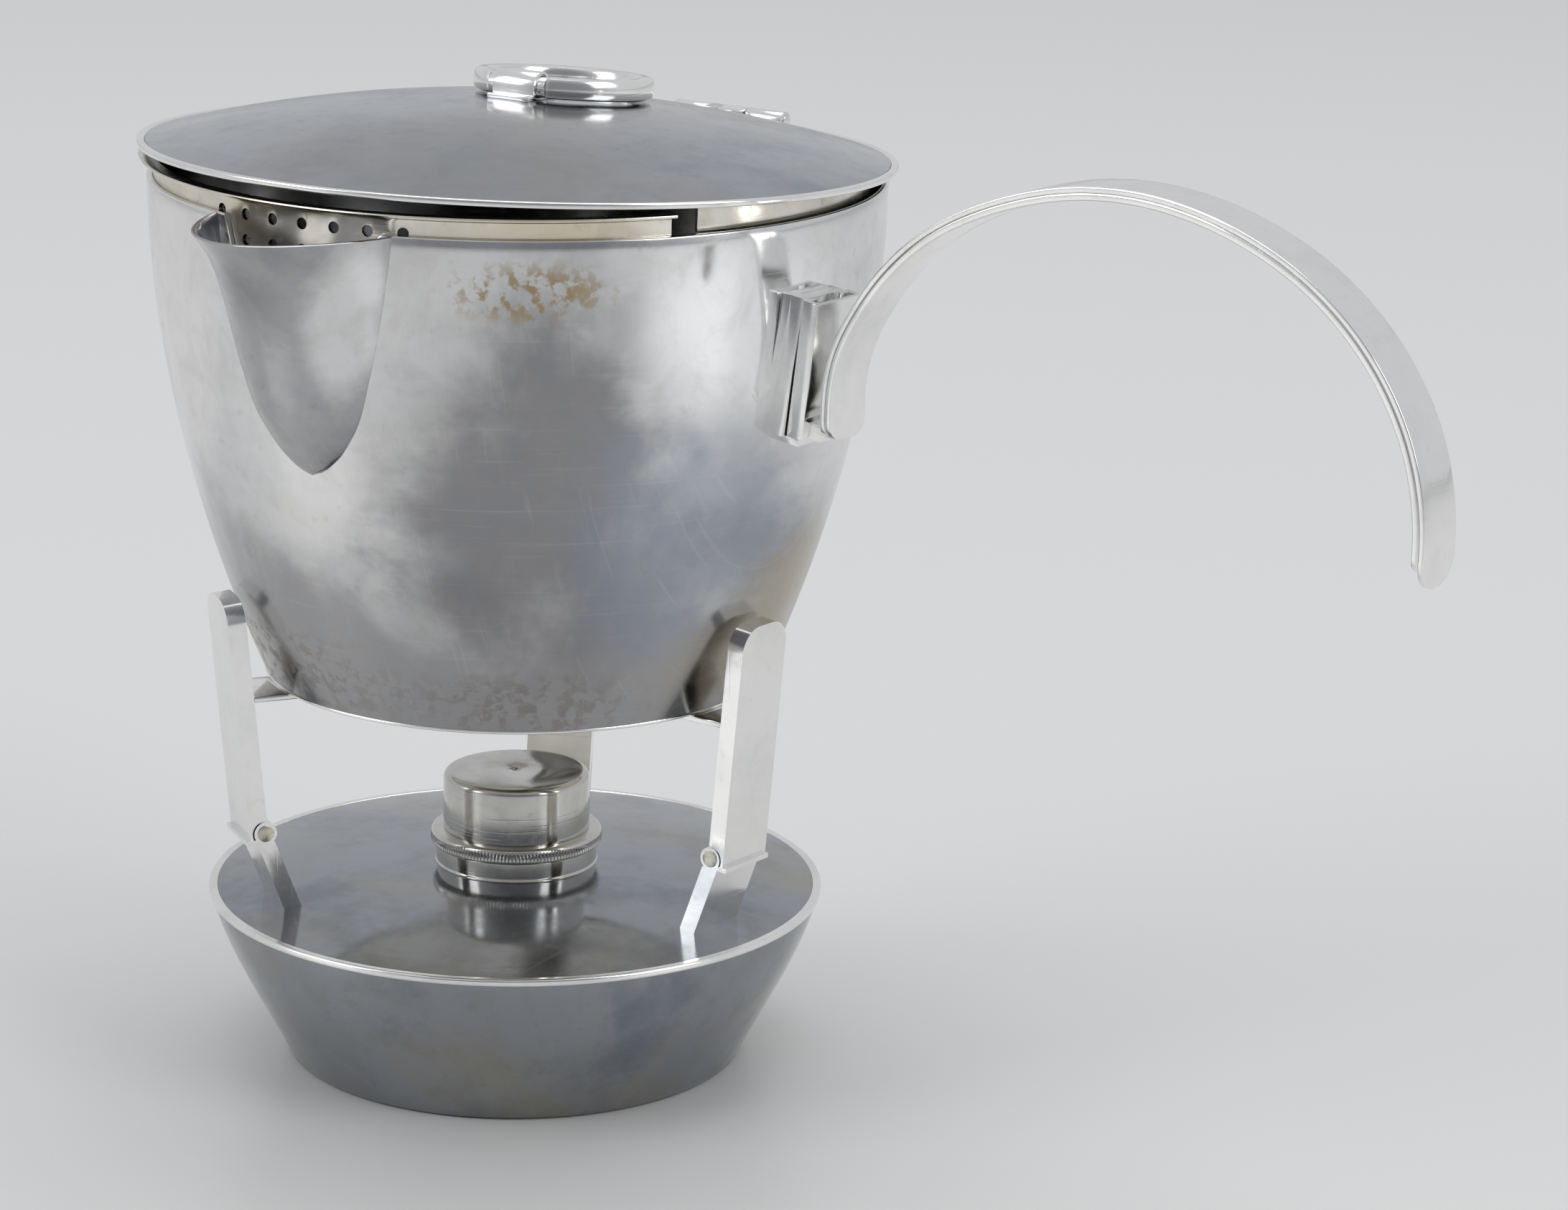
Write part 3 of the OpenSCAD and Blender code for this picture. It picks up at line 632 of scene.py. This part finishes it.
def wick_holder():
    knurls, per = 150, 4
    turns = knurls * per
    low, high, top = FLANGE_Z + 0.55, CAP_Z - 0.75, CAP_Z
    rim = FLANGE_R
    loop = [
        (HOLDER_R, HOLDER_LOW),
        (HOLDER_R, FLANGE_Z),
        (rim - 0.75, FLANGE_Z),
        (rim - 0.42, FLANGE_Z + 0.10),
        (rim - 0.16, FLANGE_Z + 0.34),
        (rim - 0.04, low),
        (rim, low + 0.12),
        (rim, (low + high) / 2),
        (rim, high - 0.12),
        (rim - 0.04, high),
        (rim - 0.20, high + 0.36),
        (rim - 0.48, top - 0.12),
        (rim - 0.85, top),
        (12.3, top),
        (12.3, top + 1.6),
        (12.1, top + 1.8),
        (TUBE_R, top + 1.8),
        (TUBE_R, FLANGE_Z + 0.6),
        (HOLDER_IN, FLANGE_Z + 0.6),
        (HOLDER_IN, HOLDER_LOW),
    ]
    verts, faces = lathe(loop, turns)
    out = []
    for x, y, z in verts:
        r = math.hypot(x, y)
        if r > rim - 0.03 and low < z < high:
            i = round(math.degrees(math.atan2(y, x)) / (360.0 / turns)) % per
            cut = (0.0, 0.07, 0.15, 0.07)[i]
            x, y = x * (r - cut) / r, y * (r - cut) / r
        out.append((x, y, z))
    make("wick_holder_fine", out, faces, "burner", ["wick_holder"], CAP_SILVER, 50.0)


wick_holder()
for node, mat in (("wick_tube", TUBE_BRASS), ("wick", COTTON)):
    NODES[node].data.materials.clear()
    NODES[node].data.materials.append(mat)

in_r = CAP_R - CAP_WALL
loop = [(in_r, 0.0), (CAP_R - 0.15, 0.0), (CAP_R, 0.2), (CAP_R, 1.0)]
loop += [(CAP_R - 0.03 * (i / 6) ** 2, 1.0 + (CAP_H - 2.4) * i / 6) for i in range(1, 7)]
for i in range(1, 10):
    a = math.radians(10 * i)
    loop.append((CAP_R - 1.25 + 1.22 * math.cos(a), CAP_H - 1.4 + 1.32 * math.sin(a)))
loop += [
    (CAP_R - 2.2, CAP_H - 0.02),
    (CAP_R * 0.6, CAP_H),
    (1.1, CAP_H),
    (0.75, CAP_H - 0.10),
    (0.5, CAP_H - 0.26),
    (0.0, CAP_H - 0.3),
    (0.0, CAP_H - 1.2),
    (in_r - 0.8, CAP_H - 1.2),
    (in_r - 0.2, CAP_H - 1.5),
    (in_r, CAP_H - 2.1),
]
make(
    "snuffer_cap_fine",
    *lathe([(r, z + CAP_Z) for r, z in loop], 192),
    "cap",
    ["snuffer_cap"],
    CAP_SILVER,
)


# Pieces with plain faces keep the model's shape and get soft edges


def refined(node, body, material, width=0.16, limit=30.0):
    mesh = NODES[node].data.copy()
    for attribute in list(mesh.attributes):
        if attribute.name in ("custom_normal", "sharp_face", "sharp_edge"):
            mesh.attributes.remove(attribute)
    bm = bmesh.new()
    bm.from_mesh(mesh)
    bmesh.ops.remove_doubles(bm, verts=bm.verts, dist=2e-6)
    bmesh.ops.dissolve_limit(
        bm,
        angle_limit=math.radians(0.6),
        verts=bm.verts,
        edges=bm.edges,
        use_dissolve_boundaries=False,
    )
    bm.to_mesh(mesh)
    bm.free()
    mesh.materials.clear()
    obj = piece(node + "_fine", mesh, body, [node], material, 30.0)
    bevel = obj.modifiers.new("bevel", "BEVEL")
    bevel.width = width * MM
    bevel.segments = 2
    bevel.limit_method = "ANGLE"
    bevel.angle_limit = math.radians(limit)
    bevel.use_clamp_overlap = True
    graph = bpy.context.evaluated_depsgraph_get()
    baked = bpy.data.meshes.new_from_object(obj.evaluated_get(graph))
    obj.modifiers.clear()
    obj.data = baked
    for p in baked.polygons:
        p.use_smooth = True
    baked.set_sharp_from_angle(angle=math.radians(32))
    return obj


for i in (1, 2, 3):
    refined(f"leg_stub_{i}", "stand", BRIGHT_SILVER)
    refined(f"leg_pin_{i}", "stand", PIN_SILVER, 0.1)
    refined(f"leg_bar_{i}", f"leg_{i}", BRIGHT_SILVER, 0.25)
    refined(f"leg_bracket_{i}", f"leg_{i}", BRIGHT_SILVER, 0.3)
refined("handle_rail", "kettle", BRIGHT_SILVER, 0.12)
refined("handle_sleeve", "handle", BRIGHT_SILVER, 0.12)
refined("lid_hinge_seat", "kettle", BRIGHT_SILVER, 0.12)
refined("lid_hinge_pin", "kettle", BRIGHT_SILVER, 0.08)
refined("lid_hinge_leaf", "lid", BRIGHT_SILVER, 0.12)
refined("ring_strap", "lid", BRIGHT_SILVER, 0.15)
refined("kettle_bottom", "kettle", INNER_SILVER, 0.1)


# Kettle


def kettle_body():
    notch = [(0.0, 21.0), (7.0, 17.0), (14.0, 6.0), (16.0, -1.0)]
    cols, rows = 480, 44
    verts, faces = [], []
    per = None
    for c in range(cols):
        a = 2 * math.pi * c / cols
        off = (math.degrees(a) + 90.0 - SPOUT_TURN + 180.0) % 360.0 - 180.0
        across = abs(MOUTH_R * math.sin(math.radians(off))) if abs(off) < 90 else 99.0
        drop = 0.0
        for (x0, y0), (x1, y1) in zip(notch, notch[1:]):
            if x0 <= across <= x1:
                drop = y0 + (y1 - y0) * (across - x0) / (x1 - x0)
        top = MOUTH_Z - max(0.0, drop)
        column = []
        for j in range(rows):
            z = BODY_Z + (top - 0.35 - BODY_Z) * j / (rows - 1)
            column.append((side_wall(z), z))
        r = side_wall(top)
        for k in (30, 60, 90, 120, 150):
            b = math.radians(k)
            column.append((r - WALL / 2 + WALL / 2 * math.cos(b), top - 0.35 + 0.35 * math.sin(b)))
        for j in range(rows - 1, -1, -1):
            z = BODY_Z + (top - 0.35 - BODY_Z) * j / (rows - 1)
            column.append((side_wall(z) - WALL, z))
        per = len(column)
        for rr, z in column:
            verts.append((rr * math.cos(a), rr * math.sin(a), z))
    for c in range(cols):
        for j in range(per):
            a, b = c * per, ((c + 1) % cols) * per
            k = (j + 1) % per
            faces.append((a + j, b + j, b + k, a + k))
    make("kettle_body_fine", verts, faces, "kettle", ["kettle_body"], BODY_SILVER, 45.0)


kettle_body()

loop = [
    (BOTTOM_R - 1.9, SEAT_Z),
    (BOTTOM_R + 0.12, SEAT_Z),
    (BOTTOM_R + 0.12, BODY_Z),
    (BOTTOM_R - 1.9, BODY_Z),
]
make(
    "foot_wire_fine",
    *lathe(soften(loop, 0.28, 5), 288),
    "kettle",
    ["kettle_foot_wire"],
    BRIGHT_SILVER,
)

LIP_WIDTH = [
    (119.0, 0.0),
    (120.0, 2.6),
    (121.4, 4.5),
    (123.7, 6.9),
    (129.4, 10.6),
    (136.7, 13.2),
    (142.7, 14.9),
    (150.4, 16.7),
    (157.2, 17.8),
    (162.2, 18.5),
]
LIP_DEPTH = [
    (119.0, 0.0),
    (120.0, 1.0),
    (121.4, 1.9),
    (124.0, 3.3),
    (130.0, 6.2),
    (137.0, 7.4),
    (145.0, 8.8),
    (152.0, 12.1),
    (157.0, 15.9),
    (160.0, 19.3),
    (162.2, 21.9),
]


def spout_lip():
    rows, cols = 46, 48
    grids = []
    for thick in (0.0, LIP_T):
        grid = []
        for j in range(rows + 1):
            t = j / rows
            z = LIP_LOW + (LIP_TOP - LIP_LOW) * (0.25 * t * t + 0.75 * t)
            lean = thick * 0.35 * max(0.0, (z - 145) / 17)
            width = max(0.02, spline(LIP_WIDTH, z) - thick)
            depth = max(0.02, spline(LIP_DEPTH, z) - thick - lean)
            chord = math.sqrt(side_wall(z) ** 2 - width**2) - 0.12
            row = []
            for i in range(cols + 1):
                a = math.pi * (i / cols - 0.5)
                row.append(
                    (
                        width * math.sin(a),
                        -(chord + depth * max(0.0, math.cos(a)) ** 1.54),
                        z,
                    )
                )
            grid.append(row)
        grids.append(grid)
    outer, inner = grids
    rim = []
    for k in (0.25, 0.5, 0.75):
        lift = 0.18 * math.sin(math.pi * k)
        rim.append(
            [
                tuple(Vector(o) * (1 - k) + Vector(n_) * k + Vector((0, 0, lift)))
                for o, n_ in zip(outer[-1], inner[-1])
            ]
        )
    sheet = outer + rim + inner[::-1]
    verts = [tuple(AT_SPOUT @ Vector(p)) for row in sheet for p in row]
    w = cols + 1
    faces = []
    count = len(sheet)
    for j in range(count):
        k = (j + 1) % count
        for i in range(cols):
            faces.append((j * w + i, j * w + i + 1, k * w + i + 1, k * w + i))
    for j in range(rows):
        a, b = j, j + 1
        c, d = count - 1 - j, count - 2 - j
        faces.append((a * w, b * w, d * w, c * w))
        faces.append((a * w + cols, c * w + cols, d * w + cols, b * w + cols))
    faces.append(tuple((rows + k) * w for k in range(5)))
    faces.append(tuple((rows + k) * w + cols for k in range(4, -1, -1)))
    make("spout_lip_fine", verts, faces, "kettle", ["spout_lip"], SPOUT_SILVER, 40.0)


spout_lip()


def strainer():
    low = MOUTH_Z - STRAINER_DEPTH
    top = MOUTH_Z + STRAINER_UP
    inner_r = MOUTH_R - WALL
    rise = [low + (MOUTH_Z - low) * i / 10 for i in range(11)]
    loop = [(side_wall(z) - WALL - 0.02, z) for z in rise]
    loop += [
        (inner_r - 0.02, top - 1.6),
        (inner_r + 0.15, top - 1.15),
        (inner_r + 0.6, top - 0.85),
        (inner_r + 1.2, top - 0.72),
        (LID_R - 0.75, top - 0.66),
        (LID_R - 0.45, top - 0.55),
        (LID_R - 0.32, top - 0.32),
        (LID_R - 0.45, top - 0.10),
        (LID_R - 0.75, top),
        (inner_r + 0.6, top - 0.02),
        (inner_r - 0.2, top - 0.15),
        (inner_r - 0.6, top - 0.55),
        (inner_r - 0.8, top - 1.2),
    ]
    loop += [(side_wall(z) - WALL - STRAINER_T, z) for z in rise[::-1]]
    arc = 2 * STRAINER_ARC
    verts, faces = lathe(loop, 232, SPOUT_TURN - 90 - STRAINER_ARC, arc)
    obj = make("strainer_fine", verts, faces, "kettle", ["strainer_band"], INNER_SILVER, 35.0)
    cutters = bmesh.new()
    for row in range(HOLE_ROWS):
        height = MOUTH_Z + FIRST_ROW - ROW_STEP * row
        for k in range(row - 3, 4 - row):
            a = math.radians(SPOUT_TURN - 90 + HOLE_TURN + HOLE_STEP * k)
            place = (
                Matrix.Rotation(a, 4, "Z")
                @ Matrix.Translation(((inner_r - 1.0) * MM, 0, height * MM))
                @ Matrix.Rotation(math.pi / 2, 4, "Y")
            )
            bmesh.ops.create_cone(
                cutters,
                cap_ends=True,
                segments=28,
                radius1=HOLE_R * MM,
                radius2=HOLE_R * MM,
                depth=9 * MM,
                matrix=place,
            )
    mesh = bpy.data.meshes.new("hole_cutters")
    cutters.to_mesh(mesh)
    cutters.free()
    tool = bpy.data.objects.new("hole_cutters", mesh)
    bpy.context.scene.collection.objects.link(tool)
    cut = obj.modifiers.new("holes", "BOOLEAN")
    cut.operation = "DIFFERENCE"
    cut.solver = "EXACT"
    cut.object = tool
    graph = bpy.context.evaluated_depsgraph_get()
    baked = bpy.data.meshes.new_from_object(obj.evaluated_get(graph))
    obj.modifiers.clear()
    obj.data = baked
    for p in baked.polygons:
        p.use_smooth = True
    baked.set_sharp_from_angle(angle=math.radians(35))
    bpy.data.objects.remove(tool)


strainer()


# Handle

# The handle's outer surface from foot to tip, as parts of its reach and rise
HANDLE_KEY = [
    (0.000, 0.000),
    (-0.001, 0.080),
    (0.000, 0.165),
    (0.007, 0.261),
    (0.022, 0.357),
    (0.046, 0.454),
    (0.076, 0.556),
    (0.113, 0.653),
    (0.157, 0.743),
    (0.206, 0.817),
    (0.258, 0.876),
    (0.312, 0.924),
    (0.368, 0.962),
    (0.426, 0.988),
    (0.488, 1.000),
    (0.550, 0.996),
    (0.611, 0.976),
    (0.670, 0.942),
    (0.729, 0.892),
    (0.786, 0.827),
    (0.841, 0.741),
    (0.891, 0.635),
    (0.933, 0.514),
    (0.965, 0.384),
    (0.986, 0.251),
    (0.997, 0.120),
    (1.000, -0.006),
    (0.995, -0.125),
]


def handle_path(step=0.6):
    """Evenly spaced points of the handle's outer surface, and its length."""
    keys = [Vector((GRIP_X + HANDLE_REACH * a, GRIP_Z + HANDLE_RISE * b)) for a, b in HANDLE_KEY]
    last = len(keys) - 1
    dense = []
    for i in range(last):
        a, b, c, d = (keys[min(last, max(0, j))] for j in (i - 1, i, i + 1, i + 2))
        for k in range(24):
            t = k / 24
            dense.append(
                0.5
                * (
                    2 * b
                    + (c - a) * t
                    + (2 * a - 5 * b + 4 * c - d) * t * t
                    + (3 * b - a - 3 * c + d) * t**3
                )
            )
    dense.append(keys[-1])
    run = [0.0]
    for a, b in zip(dense, dense[1:]):
        run.append(run[-1] + (b - a).length)
    count = int(run[-1] / step)
    out, j = [], 0
    for i in range(count + 1):
        s = run[-1] * i / count
        while j < len(run) - 2 and run[j + 1] < s:
            j += 1
        t = (s - run[j]) / (run[j + 1] - run[j])
        out.append(dense[j].lerp(dense[j + 1], t))
    for _ in range(30):
        out = [out[0]] + [
            (out[i - 1] + 2 * out[i] + out[i + 1]) / 4 for i in range(1, len(out) - 1)
        ] + [out[-1]]
    return out, run[-1]


PATH, PATH_LENGTH = handle_path()


def strip(name, node, d0, d1, short, tip_round, foot_round, corner):
    """One ply of the handle between the depths d0 and d1 under its outer surface."""
    half = HANDLE_W / 2
    total = len(PATH) - 1
    usable = PATH_LENGTH - short
    stations = [0.0]
    stations += [foot_round * (1 - math.cos(math.radians(a))) for a in (15, 30, 45, 60, 75, 90)]
    s = stations[-1] + STATION
    while s < usable - tip_round - 0.4:
        stations.append(s)
        s += STATION
    for a in (90, 75, 60, 48, 36, 24, 12, 0):
        stations.append(usable - tip_round * (1 - math.cos(math.radians(a))))
    verts, faces = [], []
    per = 0
    for s in stations:
        x = s / PATH_LENGTH * total
        i = min(int(x), total - 1)
        p = PATH[i].lerp(PATH[i + 1], x - i)
        ahead = (PATH[min(total, i + 2)] - PATH[max(0, i - 1)]).normalized()
        inward = Vector((ahead.y, -ahead.x))
        w = half
        if s < foot_round:
            w = half - foot_round + math.sqrt(max(0.0, foot_round**2 - (foot_round - s) ** 2))
        if s > usable - tip_round:
            q = s - (usable - tip_round)
            w = half - tip_round + math.sqrt(max(0.0, tip_round**2 - q**2))
        w = max(w, 0.3)
        ring = soften([(10 + d0, -w), (10 + d0, w), (10 + d1, w), (10 + d1, -w)], corner, 3)
        wide = []
        for a, b in zip(ring, ring[1:] + ring[:1]):
            wide.append(a)
            if abs(b[0] - a[0]) < 1e-9 and abs(b[1] - a[1]) > 1e-6:
                wide += [
                    (a[0] + (b[0] - a[0]) * t, a[1] + (b[1] - a[1]) * t)
                    for t in (0.2, 0.4, 0.6, 0.8)
                ]
        per = len(wide)
        for d, y in wide:
            q = p + inward * (d - 10)
            verts.append((q.x, y, q.y))
    for j in range(len(stations) - 1):
        for i in range(per):
            k = (i + 1) % per
            faces.append((j * per + i, j * per + k, (j + 1) * per + k, (j + 1) * per + i))
    faces.append(tuple(range(per - 1, -1, -1)))
    faces.append(tuple((len(stations) - 1) * per + i for i in range(per)))
    make(name, verts, faces, "handle", [node], BRIGHT_SILVER, 40.0)


strip(
    "handle_outer_fine",
    "handle_outer_strip",
    0.0,
    OUTER_T - STRIP_SEAM,
    short=0.0,
    tip_round=TIP_ROUND,
    foot_round=FOOT_ROUND,
    corner=0.22,
)
strip(
    "handle_inner_fine",
    "handle_inner_strip",
    OUTER_T + STRIP_SEAM,
    STRIP_T,
    short=PLY_SHORT,
    tip_round=PLY_ROUND,
    foot_round=FOOT_ROUND,
    corner=0.3,
)


# Lid


def lid_top(r):
    return APEX_Z - (LID_H - 1.0) * (r / CAP_EDGE) ** 2


n = 48
loop = [(CAP_EDGE * i / n, lid_top(CAP_EDGE * i / n)) for i in range(n + 1)]
loop += [(CAP_EDGE * i / n, lid_top(CAP_EDGE * i / n) - LID_T) for i in range(n, -1, -1)]
make("lid_dome_fine", *lathe(loop, 360, place=AT_LID), "lid", ["lid_dome"], LID_SILVER)

loop = [
    (CAP_EDGE, LID_Z),
    (LID_R, LID_Z),
    (LID_R, LID_Z + WIRE_H),
    (CAP_EDGE, LID_Z + WIRE_H),
]
make(
    "lid_wire_fine",
    *lathe(soften(loop, 0.4, 5), 360, place=AT_LID),
    "lid",
    ["lid_edge_wire"],
    BRIGHT_SILVER,
)

flange_in = LID_FLANGE_R - LID_FLANGE_T
flange_gap = STRAINER_ARC + 5
loop = [
    (flange_in, LID_Z - LID_FLANGE_DROP),
    (LID_FLANGE_R, LID_Z - LID_FLANGE_DROP),
    (LID_FLANGE_R, lid_top(LID_FLANGE_R) - 0.95),
    (flange_in, lid_top(flange_in) - 0.95),
]
make(
    "lid_flange_fine",
    *lathe(soften(loop, 0.25, 3), 240, flange_gap - 90, 360 - 2 * flange_gap, place=AT_LID),
    "lid",
    ["lid_flange"],
    INNER_SILVER,
)


refined("lid_ring", "ring", BRIGHT_SILVER, 0.2, 25.0)


# Floor, light and world


def stage_floor():
    bm = bmesh.new()
    bmesh.ops.create_circle(bm, cap_ends=True, segments=96, radius=FLOOR_R)
    mesh = bpy.data.meshes.new("floor")
    bm.to_mesh(mesh)
    bm.free()
    obj = bpy.data.objects.new("floor", mesh)
    bpy.context.scene.collection.objects.link(obj)
    mat = bpy.data.materials.new("floor")
    mat.use_nodes = True
    shader = mat.node_tree.nodes["Principled BSDF"]
    shader.inputs["Base Color"].default_value = (0.72, 0.72, 0.71, 1)
    shader.inputs["Roughness"].default_value = 0.32
    shader.inputs["Specular IOR Level"].default_value = 0.4
    obj.data.materials.append(mat)


def lamp(name, place, target, width, height, power):
    data = bpy.data.lights.new(name, "AREA")
    data.shape = "RECTANGLE"
    data.size = width
    data.size_y = height
    data.energy = power
    obj = bpy.data.objects.new(name, data)
    bpy.context.scene.collection.objects.link(obj)
    obj.location = place
    obj.rotation_mode = "QUATERNION"
    obj.rotation_quaternion = (Vector(target) - Vector(place)).to_track_quat("-Z", "Y")


stage_floor()
lamp("left", (-1.4, -1.9, 1.3), (0, 0, 0.1), 1.5, 1.6, 16.0)
lamp("right", (2.3, 0.2, 1.4), (0, 0, 0.1), 1.4, 1.6, 16.0)
lamp("top", (-0.25, 0.5, 2.3), (0, 0, 0.1), 1.8, 1.4, 14.0)

world = bpy.data.worlds.new("world")
bpy.context.scene.world = world
world.use_nodes = True
sky = world.node_tree
around = sky.nodes.new("ShaderNodeTexCoord")
facing = sky.nodes.new("ShaderNodeVectorMath")
facing.operation = "DOT_PRODUCT"
facing.inputs[1].default_value = SKY_FACING
sky.links.new(around.outputs["Generated"], facing.inputs[0])
dimmer = sky.nodes.new("ShaderNodeValToRGB")
dimmer.color_ramp.interpolation = "EASE"
dimmer.color_ramp.elements[0].position = 0.30
dimmer.color_ramp.elements[0].color = SKY_PALE
dimmer.color_ramp.elements[1].position = 0.95
dimmer.color_ramp.elements[1].color = SKY_DIM
sky.links.new(facing.outputs["Value"], dimmer.inputs["Fac"])
sky.links.new(dimmer.outputs["Color"], sky.nodes["Background"].inputs["Color"])
sky.nodes["Background"].inputs["Strength"].default_value = 1.0
bpy.context.scene.view_settings.view_transform = "Standard"
